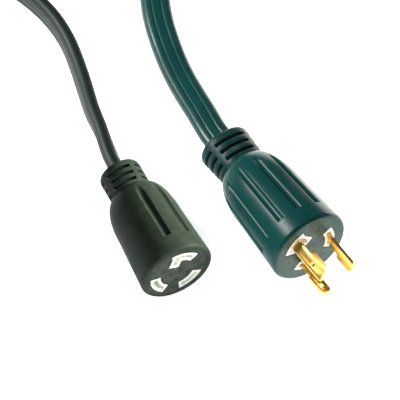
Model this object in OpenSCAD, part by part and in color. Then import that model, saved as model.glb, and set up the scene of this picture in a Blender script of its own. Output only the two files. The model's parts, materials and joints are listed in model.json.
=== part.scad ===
// Shore power cord for a caravan: a moulded locking plug with three blades at one
// end, a moulded locking connector with three slots at the other, and one flat
// three-core cord between them. The unused length is stored as a tied round coil.
// Millimetres. The floor is z = 0, and the two ends lie on it.

/* [Plug] */
// Diameter of the plug's shell at its face
plug_d = 46.2; // [45:0.2:50]
// Length of the plug's shell from its face to the strain relief
plug_shell_l = 65; // [61:1:72]
// Length of the plug's straight tapered wall, from the face to the dome
plug_straight_l = 38; // [34:1:44]
// Length that the neutral and line blades stand out of the plug's face
blade_l = 22.5; // [20:0.5:25]
// Length that the ground blade stands out of the plug's face
ground_l = 26.5; // [23:0.5:28]
// How much the stiff cord lifts the plug's nose, in degrees
plug_lift = 3.5; // [0:0.1:5]

/* [Connector] */
// Diameter of the connector's shell at its face
connector_d = 42; // [41.6:0.2:46]
// Length of the connector's shell from its face to the strain relief
connector_shell_l = 55; // [53:1:64]
// Length of the connector's straight tapered wall, from the face to the dome
connector_straight_l = 34; // [32:1:37]

/* [Moulded shells] */
// Taper of the straight wall, each side, in degrees
wall_taper = 3.6; // [2:0.1:4]
// Turn of the dome's arc from the wall to the rear face, in degrees
dome_turn = 75; // [60:1:80]
// Radius of the rounded edge of the face
rim_r = 2; // [1:0.25:3]
// Thickness of the shell's front wall
face_wall = 3.5; // [3:0.25:5]
// Width of a grip flute
flute_w = 4.4; // [3:0.2:5.5]
// Depth of a grip flute
flute_depth = 1.5; // [0.8:0.1:1.8]
// Distance from the face to the square end of a flute
flute_start = 12; // [8:0.5:16]
// Number of flutes round each shell, which leave a smooth panel bare
flute_count = 8; // [4:1:9]

/* [Contacts] */
// Radius of the circle that the blades and slots stand on
pole_r = 12.9; // [12.6:0.05:13.1]
// Thickness of a blade
blade_t = 1.7; // [1.2:0.1:1.9]
// Width of the ground blade
ground_w = 6.6; // [6:0.1:8]
// Width of the neutral blade's neck
neutral_w = 5.3; // [5:0.1:7]
// Width of the line blade's neck
line_w = 6.4; // [6:0.1:7.5]
// Length of a blade's neck, up to its locking lip
neck_l = 9.5; // [8:0.5:12]
// Reach of a locking lip beyond the neck
lip = 1.6; // [0.8:0.1:1.8]
// Length of the ground slot along its arc
ground_slot_l = 10.8; // [10.5:0.1:12]
// Length of the neutral slot along its arc
neutral_slot_l = 10.6; // [10:0.1:11.5]
// Length of the line slot along its arc
line_slot_l = 10.8; // [10:0.1:11.5]
// Reach of the ground blade's hook towards the centre
hook_l = 6.2; // [5:0.1:6.4]
// Distance from the plug's face to the hook
hook_from = 8.5; // [7:0.5:10]
// Distance from the plug's face to the hook's far end
hook_to = 20.5; // [17:0.5:21]
// Extra width of a slot over its blade, both ways together
slot_play = 0.9; // [0.5:0.1:1.1]
// Nylon left round a slot where it shows in the face
boss_wall = 1.6; // [1.2:0.1:1.8]
// Thickness of the nylon insert behind the front wall
insert_t = 8; // [6:0.5:10]
// Width of a contact's spring leaves
contact_w = 4.8; // [4:0.2:5.4]

/* [Strain relief] */
// Width of the strain relief across its flat sides' ends
relief_w = 27.8; // [26:0.2:30]
// Thickness of the strain relief
relief_t = 23.4; // [22:0.2:25]
// Length of the plug's strain relief
plug_relief_l = 21; // [19:0.5:26]
// Length of the connector's strain relief
connector_relief_l = 17; // [16.5:0.5:24]
// Distance from the plug's shell to its first bending slot
plug_relief_first = 3.1; // [1.5:0.1:3.5]
// Distance from the connector's shell to its first bending slot
connector_relief_first = 1.7; // [1.2:0.1:2.5]
// Flare of the plug's strain relief towards its far end
plug_relief_flare = 1.1; // [0:0.1:1.5]
// Flare of the connector's strain relief towards its far end
connector_relief_flare = 0.2; // [0:0.1:1.5]
// Width of a bending slot in the strain relief
relief_slot_w = 2.1; // [1.5:0.1:2.4]
// Width of the webs that bridge the bending slots
relief_web_w = 3.4; // [2:0.2:5]
// Radius of the strain relief's rounded far end
relief_round = 2.4; // [1:0.2:3]

/* [Cord] */
// Width of the flat cord
cord_w = 16.8; // [15:0.2:17]
// Thickness of the flat cord
cord_t = 8; // [7:0.2:8.4]
// Diameter of one insulated conductor
lead_d = 4.1; // [3.6:0.1:4.3]
// Diameter of one conductor's copper
core_d = 2.9; // [2.4:0.1:3]
// Distance between neighbouring conductors in the cord
lead_pitch = 5; // [4.6:0.1:5.1]

/* [Coil] */
// Diameter of the coil across the middle of its turns
coil_d = 166; // [155:1:200]
// Turns that lie side by side in each of the coil's layers
coil_turns = 7; // [4:1:8]
// Layers of turns on top of each other
coil_layers = 2; // [1:1:3]
// Thickness of the straps that tie the coil
tie_t = 1.2; // [0.8:0.1:1.6]
// Width of the straps that tie the coil
tie_w = 18; // [12:1:24]

/* [Hidden] */
$fn = 96;
eps = 0.01;
fit_gap = 0.1;       // clearance between pieces that are seated in each other
barrel_wall = 1.1;   // wall of a crimp barrel
leaf_t = 0.8;        // thickness of a contact's spring leaves
spigot_l = 6;        // length of the strain relief's spigot inside the shell
spigot_wall = 1.5;   // wall of the spigot beyond the flat cord
rear_ledge = 0.5;    // the shell's rear face shows this much round the strain relief
arc_step = 12.5;     // degrees between the points of a moulded arc

blade_recess = 2.5;  // depth of the slot-shaped recess round each of the plug's blades
insert_rim = 0.8;    // nylon outside the bosses, behind the front wall
crimp_root = 5;      // length of a blade between its carrier and its crimp
tip_r = 2.2;         // radius of a blade's rounded corners
tip_cut = 1.2;       // slant of the ground blade's tip
blade_hole_d = 2.7;  // hole near a blade's tip
blade_root = 2;      // a blade's length behind its crimp
core_seat = 1.4;     // depth of a core's bore in a contact or blade
barrel_lap = 0.6;    // overlap of a crimp barrel with its contact or blade
blade_room = 1.5;    // space behind the tip of a blade that is pushed home

// Each end's own sizes: [face radius, shell length, straight length, relief length,
// distance to the relief's first slot, flare of the relief]
CONNECTOR = [connector_d / 2, connector_shell_l, connector_straight_l, connector_relief_l,
             connector_relief_first, connector_relief_flare];
PLUG = [plug_d / 2, plug_shell_l, plug_straight_l, plug_relief_l, plug_relief_first,
        plug_relief_flare];

// The poles' places on their circle, seen from in front of the connector, with the
// length of the slot, the width of the blade and the room left beyond the blade at the
// slot's clockwise end. The plug's are their mirror image, so that the two ends mate.
GROUND = [90, ground_slot_l, ground_w, 1.5];
LINE = [225, line_slot_l, line_w, 0.9];
NEUTRAL = [-35, neutral_slot_l, neutral_w, 1.1];
connector_roll = -22;  // turn of the whole contact face about the connector's axis
plug_roll = 42;        // turn of the whole contact face about the plug's axis
connector_flat = 106;  // direction of the flat cord's width at the connector
plug_flat = -6;        // direction of the flat cord's width at the plug
connector_first_flute = 88;
connector_flute_pitch = -34.5;
plug_first_flute = 52;
plug_flute_pitch = 31.5;

// Where each end lies: its heading, measured from straight ahead (-Y), and the
// place of its face's centre on the floor plan.
connector_heading = 26.1;
connector_place = [-26.54, -38.37];
plug_heading = 33.2;
plug_place = [44.86, -25.87];

// Lengths along each end, measured back from the face
insert_back = face_wall + insert_t;
contact_back = ground_l + blade_room + leaf_t;
barrel_l = 9;
slot_w = blade_t + slot_play;
boss_in = pole_r - slot_w / 2 - boss_wall;
boss_out = pole_r + slot_w / 2 + boss_wall;
insert_r = boss_out + insert_rim;
cavity_r = insert_r + fit_gap;
spigot_r = cord_w / 2 + fit_gap + spigot_wall;
rear_bore_r = spigot_r + fit_gap;
rear_r = (relief_w + relief_t) / 4 + rear_ledge;
relief_core_t = cord_t + 4;
relief_core_w = cord_w + 4;

function slot_half(pole) = pole[1] / (2 * pole_r) * 180 / PI;
function boss_half(pole) = slot_half(pole) + asin(boss_wall / pole_r);
// The place of the blade's clockwise edge
function blade_edge(pole) = pole_r * sin(slot_half(pole)) - pole[3];
hook_y = pole_r * sin(slot_half(GROUND));

function wall_r(size, s) = size[0] - (s - rim_r) * tan(wall_taper);
function shoulder_r(size) = wall_r(size, size[2]);
// Height of the face's centre at which the shell, with its nose lifted, lies on the floor
function face_height(size, lift) =
    let (tilt = wall_taper + lift)
    max([for (p = concat([[size[0], rim_r]], dome_points(size)))
         p[0] * cos(tilt) + p[1] * sin(tilt)]);
function dome_points(size) = [for (a = [0 : arc_step : dome_turn]) dome_point(size, a)];
function dome_point(size, a) =
    let (long = (size[1] - size[2]) / sin(dome_turn),
         deep = (shoulder_r(size) - rear_r) / (1 - cos(dome_turn)))
    [shoulder_r(size) - deep * (1 - cos(a)), size[2] + long * sin(a)];

// ---------------------------------------------------------------- placing
function turn(p, tilt, heading) =
    let (y = -p[1] * sin(-tilt) - p[2] * cos(-tilt),
         z = p[1] * cos(-tilt) - p[2] * sin(-tilt))
    [p[0] * cos(heading) - y * sin(heading), p[0] * sin(heading) + y * cos(heading), z];
function connector_face() = [connector_place[0], connector_place[1], face_height(CONNECTOR, 0)];
function plug_face() = [plug_place[0], plug_place[1], face_height(PLUG, plug_lift)];
function on_connector(p) = connector_face() + turn(p, wall_taper, connector_heading);
function on_plug(p) = plug_face() + turn(p, wall_taper + plug_lift, plug_heading);

module place_connector()
    translate(connector_face()) rotate([90 - wall_taper, 0, connector_heading]) children();

module place_plug()
    translate(plug_face()) rotate([90 - wall_taper - plug_lift, 0, plug_heading]) children();

// ---------------------------------------------------------------- shared forms
// A ring about the axis, from depth z0 back to depth z1
module ring(r_in, r_out, z0, z1)
    translate([0, 0, -z1]) difference() {
        cylinder(r = r_out, h = z1 - z0);
        translate([0, 0, -1]) cylinder(r = r_in, h = z1 - z0 + 2);
    }

// A flat outline, drawn as [across, out of the face], made into a bar along the radius
module radial_bar(r_in, r_out)
    translate([r_in, 0, 0]) rotate([90, 0, 90]) linear_extrude(r_out - r_in) children();

// The block of a ring that is w wide and stands between two depths
module ring_block(r_in, r_out, w, z0, z1)
    intersection() {
        ring(r_in, r_out, z0, z1);
        radial_bar(r_in * 0.5, r_out + 2)
            translate([-w / 2, -z1]) square([w, z1 - z0]);
    }

// The stretch of a ring that reaches half an angle to both sides, with radial ends
module arc_block(r_in, r_out, half, z0, z1)
    intersection() {
        ring(r_in, r_out, z0, z1);
        translate([0, 0, -z1]) linear_extrude(z1 - z0)
            polygon(2 * r_out * [[0, 0], [cos(half), -sin(half)], [cos(half), sin(half)]]);
    }

// Puts a piece at a pole of the contact face; mirrored for the plug
module at_pole(pole, mirrored, roll) {
    if (mirrored)
        rotate([0, 0, 180 - pole[0] + roll]) mirror([0, 1, 0]) children();
    else
        rotate([0, 0, pole[0] + roll]) children();
}

function pole_angle(pole, mirrored, roll) = (mirrored ? 180 - pole[0] : pole[0]) + roll;

// A flat slot shape with round ends
module oval(w, t) {
    square([w - t, t], center = true);
    for (side = [-1, 1]) translate([side * (w - t) / 2, 0]) circle(d = t);
}

// A cylinder along the line from p to q, from distance a to distance b
module rod(p, q, a, b, r) {
    d = q - p;
    translate(p) rotate([0, acos(d[2] / norm(d)), atan2(d[1], d[0])])
        translate([0, 0, a]) cylinder(r = r, h = b - a);
}

// ---------------------------------------------------------------- shells
module shell_outline(size)
    polygon(concat(
        [[0, 0]],
        [for (a = [0 : 22.5 : 90]) [size[0] - rim_r + rim_r * sin(a), -rim_r + rim_r * cos(a)]],
        [for (p = dome_points(size)) [p[0], -p[1]]],
        [[rear_r, -size[1]], [0, -size[1]]]));

module flute(size) {
    r = (flute_w * flute_w / 4 + flute_depth * flute_depth) / (2 * flute_depth);
    rotate([0, wall_taper, 0])
        translate([size[0] * cos(wall_taper) + rim_r * sin(wall_taper) + r - flute_depth, 0,
                   -size[1] * 1.2])
            cylinder(r = r, h = size[1] * 1.2 - flute_start, $fn = 48);
}

module cavity(size) {
    zj = size[1] - spigot_l;
    rotate_extrude() polygon([
        [0, -face_wall], [cavity_r, -face_wall], [cavity_r, -size[2]],
        [rear_bore_r, -zj + 2], [rear_bore_r, -size[1] - 1], [0, -size[1] - 1]]);
}

// The nylon of one pole in the front wall: an arc, with the ground's hook
module boss(pole, z0, z1, grow) {
    arc_block(boss_in - grow, boss_out + grow, boss_half(pole) + asin(grow / pole_r), z0, z1);
    if (pole == GROUND) hook_block(boss_wall + grow, z0, z1);
}

// The space of the ground blade's hook, grown all round
module hook_block(grow, z0, z1)
    translate([pole_r - hook_l - slot_play / 2 - grow, hook_y - slot_w - grow, -z1])
        cube([hook_l + slot_play / 2 + grow, slot_w + 2 * grow, z1 - z0]);

// One pole's slot in the connector
module slot(pole, z0, z1) {
    arc_block(pole_r - slot_w / 2, pole_r + slot_w / 2, slot_half(pole), z0, z1);
    if (pole == GROUND) hook_block(0, z0, min(z1, hook_to + blade_room));
}

// The stretch that one blade's neck takes up in the plug, grown all round
module neck(pole, grow, z0, z1)
    intersection() {
        ring(pole_r - blade_t / 2 - grow, pole_r + blade_t / 2 + grow, z0, z1);
        radial_bar(pole_r / 2, pole_r + 3)
            translate([blade_edge(pole) - pole[2] - grow, -z1]) square([pole[2] + 2 * grow, z1 - z0]);
    }

module shell(size, first_flute, flute_pitch, mirrored, roll)
    difference() {
        rotate_extrude() shell_outline(size);
        cavity(size);
        for (i = [0 : flute_count - 1]) rotate([0, 0, first_flute + i * flute_pitch]) flute(size);
        for (pole = [GROUND, NEUTRAL, LINE])
            at_pole(pole, mirrored, roll) boss(pole, -1, face_wall + 1, fit_gap);
    }

// ---------------------------------------------------------------- nylon inserts
module insert(mirrored, roll)
    difference() {
        union() {
            translate([0, 0, -insert_back]) cylinder(r = insert_r, h = insert_t);
            for (pole = [GROUND, NEUTRAL, LINE])
                at_pole(pole, mirrored, roll) boss(pole, 0, face_wall + 1, 0);
        }
        for (pole = [GROUND, NEUTRAL, LINE])
            at_pole(pole, mirrored, roll)
                if (mirrored) {
                    neck(pole, fit_gap, -1, insert_back + 1);
                    slot(pole, -1, blade_recess);
                }
                else slot(pole, -1, insert_back + 1);
    }

// ---------------------------------------------------------------- leads
// Each conductor runs straight from its crimp barrel to its place in the flat cord.
function lead_row(pole) = pole == GROUND ? 1 : pole == NEUTRAL ? 0 : -1;
function crimp_point(pole, mirrored, roll, back) =
    let (a = pole_angle(pole, mirrored, roll)) [pole_r * cos(a), pole_r * sin(a), -back];
function jacket_point(size, pole, mirrored, flat) =
    let (x = lead_row(pole) * lead_pitch * (mirrored ? -1 : 1))
    [x * cos(flat), x * sin(flat), -(size[1] - spigot_l)];

module lead_path(size, pole, mirrored, roll, flat, back, a, b, r) {
    p = crimp_point(pole, mirrored, roll, back);
    q = jacket_point(size, pole, mirrored, flat);
    rod(p, q, a, b < 0 ? norm(q - p) + 4 : b, r);
}

// Keeps only what lies in front of the jacket's cut end
module before_jacket(size)
    intersection() {
        children();
        translate([0, 0, -(size[1] - spigot_l)]) cylinder(r = size[0], h = size[1]);
    }

module lead(size, pole, mirrored, roll, flat, back)
    before_jacket(size) difference() {
        lead_path(size, pole, mirrored, roll, flat, back, barrel_l + 1, -1, lead_d / 2);
        lead_path(size, pole, mirrored, roll, flat, back, barrel_l, -1, core_d / 2 + fit_gap / 4);
    }

module core(size, pole, mirrored, roll, flat, back)
    before_jacket(size)
        lead_path(size, pole, mirrored, roll, flat, back, core_seat + fit_gap, -1, core_d / 2);

module barrel(size, pole, mirrored, roll, flat, back)
    difference() {
        lead_path(size, pole, mirrored, roll, flat, back, -barrel_lap, barrel_l, core_d / 2 + barrel_wall);
        lead_path(size, pole, mirrored, roll, flat, back, core_seat, barrel_l + 1, core_d / 2 + fit_gap / 4);
    }

module barrel_pocket(size, pole, mirrored, roll, flat, back) {
    lead_path(size, pole, mirrored, roll, flat, back, -barrel_lap - fit_gap, barrel_l + 1,
              core_d / 2 + barrel_wall + fit_gap);
    lead_path(size, pole, mirrored, roll, flat, back, barrel_l, -1, lead_d / 2 + fit_gap);
}

// ---------------------------------------------------------------- connector inside
module contact_block(pole, grow)
    ring_block(pole_r - slot_w / 2 - leaf_t - grow, pole_r + slot_w / 2 + leaf_t + grow,
               contact_w + 2 * grow, insert_back - (grow > 0 ? 1 : 0), contact_back + grow);

module contact(pole) {
    difference() {
        at_pole(pole, false, connector_roll) difference() {
            contact_block(pole, 0);
            ring_block(pole_r - blade_t / 2, pole_r + blade_t / 2, contact_w + 2,
                       insert_back - 1, contact_back - leaf_t);
        }
        lead_path(CONNECTOR, pole, false, connector_roll, connector_flat, contact_back, core_seat,
                  barrel_l + 1, core_d / 2 + fit_gap / 4);
    }
    barrel(CONNECTOR, pole, false, connector_roll, connector_flat, contact_back);
}

module mould_body(size)
    rotate_extrude() polygon([
        [0, -insert_back], [insert_r, -insert_back], [insert_r, -size[2]],
        [spigot_r, -(size[1] - spigot_l) + 2], [spigot_r, -(size[1] - spigot_l)],
        [0, -(size[1] - spigot_l)]]);

module connector_mould()
    difference() {
        mould_body(CONNECTOR);
        for (pole = [GROUND, NEUTRAL, LINE]) {
            at_pole(pole, false, connector_roll) {
                contact_block(pole, fit_gap);
                slot(pole, insert_back - 1, ground_l + blade_room);
            }
            barrel_pocket(CONNECTOR, pole, false, connector_roll, connector_flat, contact_back);
        }
    }

// ---------------------------------------------------------------- plug inside
plug_crimp_back = insert_back + crimp_root;

// A blade's flat outline, [across, out of the face], before it is curved
module blade_outline(pole) {
    right = blade_edge(pole);
    left = right - pole[2];
    out = right + lip;
    difference() {
        if (pole == GROUND)
            polygon([[left, 0], [left, ground_l - tip_cut / 2], [left + tip_cut / 2, ground_l],
                     [right - tip_cut, ground_l - tip_cut], [right, ground_l - 2 * tip_cut], [right, 0]]);
        else
            polygon(concat(
                [[left, 0]],
                [for (a = [0 : 22.5 : 90])
                    [left + tip_r - tip_r * cos(a), blade_l - tip_r + tip_r * sin(a)]],
                [for (a = [0 : 22.5 : 90])
                    [out - tip_r + tip_r * sin(a), blade_l - tip_r + tip_r * cos(a)]],
                [[out, neck_l], [right, neck_l - lip / 2], [right, 0]]));
        if (pole == GROUND)
            translate([(left + right) / 2, (hook_from + ground_l) / 2 - 1]) circle(d = blade_hole_d, $fn = 32);
        if (pole == NEUTRAL)
            translate([(left + out) / 2, blade_l - 2 * blade_hole_d]) circle(d = blade_hole_d, $fn = 32);
    }
}

module blade(pole) {
    difference() {
        at_pole(pole, true, plug_roll) {
            intersection() {
                ring(pole_r - blade_t / 2, pole_r + blade_t / 2, -ground_l - 1, 0);
                radial_bar(pole_r / 2, pole_r + 3) blade_outline(pole);
            }
            neck(pole, 0, -eps, plug_crimp_back + blade_root);
            if (pole == GROUND) ground_hook();
        }
        lead_path(PLUG, pole, true, plug_roll, plug_flat, plug_crimp_back, core_seat,
                  barrel_l + 1, core_d / 2 + fit_gap / 4);
    }
    barrel(PLUG, pole, true, plug_roll, plug_flat, plug_crimp_back);
}

// The flange of the ground blade, bent in towards the centre
module ground_hook()
    translate([pole_r - hook_l, blade_edge(GROUND), 0]) rotate([90, 0, 0]) linear_extrude(blade_t)
        polygon([[0, hook_from], [0, hook_to - tip_cut], [tip_cut / 2, hook_to],
                 [hook_l - blade_t / 4, hook_to], [hook_l - blade_t / 4, hook_from]]);

module plug_mould()
    difference() {
        mould_body(PLUG);
        for (pole = [GROUND, NEUTRAL, LINE]) {
            at_pole(pole, true, plug_roll)
                neck(pole, fit_gap, insert_back - 1, plug_crimp_back + blade_root + fit_gap);
            barrel_pocket(PLUG, pole, true, plug_roll, plug_flat, plug_crimp_back);
        }
    }

// ---------------------------------------------------------------- strain relief
// One half of the relief's side profile, [out from the middle, back from the shell]
module relief_profile(r, relief_l, flare)
    polygon(concat(
        [[0, 0], [r, 0]],
        [for (a = [0 : 22.5 : 90])
            [r + flare - relief_round + relief_round * cos(a),
             -relief_l + relief_round - relief_round * sin(a)]],
        [[0, -relief_l]]));

module relief_block(relief_l, flare) {
    r = relief_t / 2;
    e = (relief_w - relief_t) / 2;
    for (side = [0, 1]) rotate([0, 0, side * 180])
        translate([e, 0, 0]) rotate([0, 0, -90]) rotate_extrude(angle = 180)
            relief_profile(r, relief_l, flare);
    translate([-e, 0, 0]) rotate([90, 0, 90]) linear_extrude(2 * e) {
        relief_profile(r, relief_l, flare);
        mirror([1, 0]) relief_profile(r, relief_l, flare);
    }
}

// A row of four bending slots, cut down to the sleeve round the cord
module relief_slots()
    linear_extrude(relief_slot_w) difference() {
        circle(d = relief_w + 4);
        oval(relief_core_w, relief_core_t);
        for (a = [40, 140]) rotate(a) square([relief_w * 2, relief_web_w], center = true);
    }

module strain_relief(size, flat)
    rotate([0, 0, flat]) difference() {
        union() {
            translate([0, 0, -size[1]]) relief_block(size[3], size[5]);
            translate([0, 0, -size[1]]) cylinder(r = spigot_r, h = spigot_l);
        }
        translate([0, 0, -size[1] - size[3] - 1]) linear_extrude(size[3] + spigot_l + 2)
            oval(cord_w + 2 * fit_gap, cord_t + 2 * fit_gap);
        pitch = (size[3] - size[4] - relief_slot_w) / 3;
        for (i = [0 : 2])
            translate([0, 0, -size[1] - size[4] - relief_slot_w - i * pitch]) relief_slots();
    }

module jacket_end(size, flat)
    rotate([0, 0, flat]) translate([0, 0, -size[1] - size[3]])
        linear_extrude(size[3] + spigot_l) oval(cord_w, cord_t);

// ---------------------------------------------------------------- cord
// The flat cord's section, 12 sides, [across its width, across its thickness]
SECTION = [for (side = [1, -1], a = [-75 : 30 : 75])
           [side * ((cord_w - cord_t) / 2 + cord_t / 2 * cos(a)), side * cord_t / 2 * sin(a)]];

tie_gap = 0.2;
coil_base = tie_t + tie_gap;
coil_pitch = cord_t + 0.2;
coil_ring = coil_turns * coil_pitch;
coil_r_in = coil_d / 2 - coil_ring / 2;
coil_r_out = coil_d / 2 + coil_ring / 2;
coil_h = coil_layers * (cord_w + 0.1);
COIL_AT = [-137.8, 283.6];
TIE_ANGLES = [100, 180, 300];
straight_run = 8;    // the cord runs straight this far out of a strain relief
edge_z = cord_w / 2;
CLIMB = [0.2, 2.2, 6.2, 11, 15];  // how the cord climbs to the coil's upper layer
flat_z = cord_t / 2;

// A place beside the coil's outer turn: its angle round the coil and its height
function beside_coil(a, z) = let (r = coil_r_out + cord_t / 2 + 0.3)
    [COIL_AT[0] + r * cos(a), COIL_AT[1] + r * sin(a), z, 90];

// Each route point is [x, y, z, roll]: roll 0 lies flat on the floor, 90 stands on edge.
CONNECTOR_EXIT = on_connector([0, 0, -connector_shell_l - connector_relief_l]);
CONNECTOR_NEXT = on_connector([0, 0, -connector_shell_l - connector_relief_l - straight_run]);
PLUG_EXIT = on_plug([0, 0, -plug_shell_l - plug_relief_l]);
PLUG_NEXT = on_plug([0, 0, -plug_shell_l - plug_relief_l - straight_run]);

CONNECTOR_ROUTE = concat(
    [concat(CONNECTOR_EXIT, [connector_flat]), concat(CONNECTOR_NEXT, [connector_flat])],
    [[-65, 43.1, 15.5, 103],
     [-68.2, 53.9, 14.3, 98],
     [-73.4, 68.2, 12.4, 90],
     [-77.6, 84.2, 10.2, 87],
     [-82.1, 100.2, 8.8, 88],
     [-87.2, 114.7, edge_z, 90],
     [-94.5, 128.2, edge_z, 90],
     [-103.5, 139.5, edge_z, 90],
     [-117.5, 152.1, edge_z, 90],
     [-134.4, 161.9, edge_z, 90],
     [-149.7, 167.4, edge_z, 90]],
    [for (a = [-104 : -14 : -160]) beside_coil(a, edge_z)]);

PLUG_ROUTE = concat(
    [concat(PLUG_EXIT, [plug_flat]), concat(PLUG_NEXT, [plug_flat])],
    [[-8.7, 57.1, 13.4, -5],
     [-13.6, 68.2, 11.2, -4],
     [-20.1, 82.2, 8.2, -2],
     [-26.6, 97.2, 5.7, 0],
     [-32.1, 113.2, flat_z, 0],
     [-37.1, 131.2, flat_z, 0],
     [-39.6, 149.2, flat_z, 0],
     [-39.4, 167.6, 4.9, 11],
     [-37, 186.6, 6.1, 28],
     [-33.3, 205.6, 7.4, 50],
     [-29.1, 225.1, 8.2, 72],
     [-25.3, 244.6, edge_z, 86],
     [-22.6, 264.1, edge_z, 90]],
    [for (i = [0 : 4]) beside_coil(15 * i, edge_z + CLIMB[i])]);

function unit(v) = v / norm(v);
function run(route, i) =
    let (a = route[max(i - 1, 0)], b = route[min(i + 1, len(route) - 1)])
    unit([b[0] - a[0], b[1] - a[1], b[2] - a[2]]);
function ring_points(p, t) =
    let (across = unit(cross(t, [0, 0, 1])), up = cross(across, t),
         wide = cos(p[3]) * across + sin(p[3]) * up,
         thick = cross(t, wide))
    [for (q = SECTION) [p[0], p[1], p[2]] + q[0] * wide + q[1] * thick];

module flat_cord(route, first) {
    n = len(SECTION);
    rings = [for (i = [0 : len(route) - 1]) each ring_points(route[i], i == 0 ? first : run(route, i))];
    last = (len(route) - 1) * n;
    polyhedron(points = rings, faces = concat(
        [[for (j = [0 : n - 1]) j]],
        [for (i = [0 : len(route) - 2], j = [0 : n - 1])
            [i * n + j, (i + 1) * n + j, (i + 1) * n + (j + 1) % n, i * n + (j + 1) % n]],
        [[for (j = [n - 1 : -1 : 0]) last + j]]));
}

// A strap round the coil's section, shown as a closed band
module tie(a) {
    near = sqrt(coil_r_in * coil_r_in - tie_w * tie_w / 4) - tie_gap;
    far = coil_r_out + tie_gap;
    translate([COIL_AT[0], COIL_AT[1], 0]) rotate([0, 0, a]) rotate([90, 0, 0])
        translate([0, 0, -tie_w / 2]) linear_extrude(tie_w) difference() {
            translate([near - tie_t, 0]) square([far - near + 2 * tie_t, coil_h + 2 * (tie_gap + tie_t)]);
            translate([near, tie_t]) square([far - near, coil_h + 2 * tie_gap]);
        }
}

// ---------------------------------------------------------------- nodes
module connector_shell()
    color([0.13, 0.15, 0.12]) place_connector()
        shell(CONNECTOR, connector_first_flute, connector_flute_pitch, false, connector_roll);
module connector_strain_relief()
    color([0.12, 0.15, 0.12]) place_connector() strain_relief(CONNECTOR, connector_flat);
module connector_slot_insert()
    color([0.93, 0.92, 0.88]) place_connector() insert(false, connector_roll);
module connector_back_mould()
    color([0.3, 0.3, 0.3]) place_connector() connector_mould();
module connector_ground_contact() color([0.8, 0.6, 0.3]) place_connector() contact(GROUND);
module connector_neutral_contact() color([0.8, 0.6, 0.3]) place_connector() contact(NEUTRAL);
module connector_line_contact() color([0.8, 0.6, 0.3]) place_connector() contact(LINE);
module connector_lead(pole)
    place_connector() lead(CONNECTOR, pole, false, connector_roll, connector_flat, contact_back);
module connector_ground_lead() color([0.1, 0.5, 0.2]) connector_lead(GROUND);
module connector_neutral_lead() color([0.9, 0.9, 0.9]) connector_lead(NEUTRAL);
module connector_line_lead() color([0.1, 0.1, 0.1]) connector_lead(LINE);
module connector_core(pole)
    place_connector() core(CONNECTOR, pole, false, connector_roll, connector_flat, contact_back);
module connector_ground_core() color([0.8, 0.45, 0.25]) connector_core(GROUND);
module connector_neutral_core() color([0.8, 0.45, 0.25]) connector_core(NEUTRAL);
module connector_line_core() color([0.8, 0.45, 0.25]) connector_core(LINE);
module connector_jacket_end()
    color([0.14, 0.16, 0.13]) place_connector() jacket_end(CONNECTOR, connector_flat);

module plug_shell()
    color([0.06, 0.22, 0.21]) place_plug()
        shell(PLUG, plug_first_flute, plug_flute_pitch, true, plug_roll);
module plug_strain_relief()
    color([0.06, 0.2, 0.19]) place_plug() strain_relief(PLUG, plug_flat);
module plug_blade_carrier()
    color([0.93, 0.92, 0.88]) place_plug() insert(true, plug_roll);
module plug_back_mould() color([0.3, 0.3, 0.3]) place_plug() plug_mould();
module plug_ground_blade() color([0.85, 0.65, 0.3]) place_plug() blade(GROUND);
module plug_neutral_blade() color([0.85, 0.65, 0.3]) place_plug() blade(NEUTRAL);
module plug_line_blade() color([0.85, 0.65, 0.3]) place_plug() blade(LINE);
module plug_lead(pole) place_plug() lead(PLUG, pole, true, plug_roll, plug_flat, plug_crimp_back);
module plug_ground_lead() color([0.1, 0.5, 0.2]) plug_lead(GROUND);
module plug_neutral_lead() color([0.9, 0.9, 0.9]) plug_lead(NEUTRAL);
module plug_line_lead() color([0.1, 0.1, 0.1]) plug_lead(LINE);
module plug_core(pole) place_plug() core(PLUG, pole, true, plug_roll, plug_flat, plug_crimp_back);
module plug_ground_core() color([0.8, 0.45, 0.25]) plug_core(GROUND);
module plug_neutral_core() color([0.8, 0.45, 0.25]) plug_core(NEUTRAL);
module plug_line_core() color([0.8, 0.45, 0.25]) plug_core(LINE);
module plug_jacket_end() color([0.06, 0.22, 0.21]) place_plug() jacket_end(PLUG, plug_flat);

module cord_to_connector()
    color([0.13, 0.15, 0.12]) flat_cord(CONNECTOR_ROUTE, unit(CONNECTOR_NEXT - CONNECTOR_EXIT));
module cord_to_plug()
    color([0.06, 0.22, 0.21]) flat_cord(PLUG_ROUTE, unit(PLUG_NEXT - PLUG_EXIT));
module cord_coil()
    color([0.08, 0.18, 0.17]) translate([COIL_AT[0], COIL_AT[1], coil_base]) difference() {
        cylinder(r = coil_r_out, h = coil_h);
        translate([0, 0, -1]) cylinder(r = coil_r_in, h = coil_h + 2);
    }
module coil_ties() color([0.1, 0.1, 0.1]) for (a = TIE_ANGLES) tie(a);

connector_shell();
connector_strain_relief();
connector_slot_insert();
connector_back_mould();
connector_ground_contact();
connector_neutral_contact();
connector_line_contact();
connector_ground_lead();
connector_neutral_lead();
connector_line_lead();
connector_ground_core();
connector_neutral_core();
connector_line_core();
connector_jacket_end();
plug_shell();
plug_strain_relief();
plug_blade_carrier();
plug_back_mould();
plug_ground_blade();
plug_neutral_blade();
plug_line_blade();
plug_ground_lead();
plug_neutral_lead();
plug_line_lead();
plug_ground_core();
plug_neutral_core();
plug_line_core();
plug_jacket_end();
cord_to_connector();
cord_coil();
cord_to_plug();
coil_ties();
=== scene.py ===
# %% [markdown]
# # A caravan's shore power cord
#
# The object is a flat three-core cord with a moulded locking plug at one end and a
# moulded locking connector at the other. Its solids come ready made and fixed in
# place. This lesson dresses them: smooth moulded shells with crisp flutes, soft
# strain reliefs, stamped brass blades and seven and a half metres of flat cord.
# Everything is in metres, and the floor is z = 0.

import json
import math

import bmesh
import bpy
import numpy as np
from mathutils import Matrix, Vector


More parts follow.
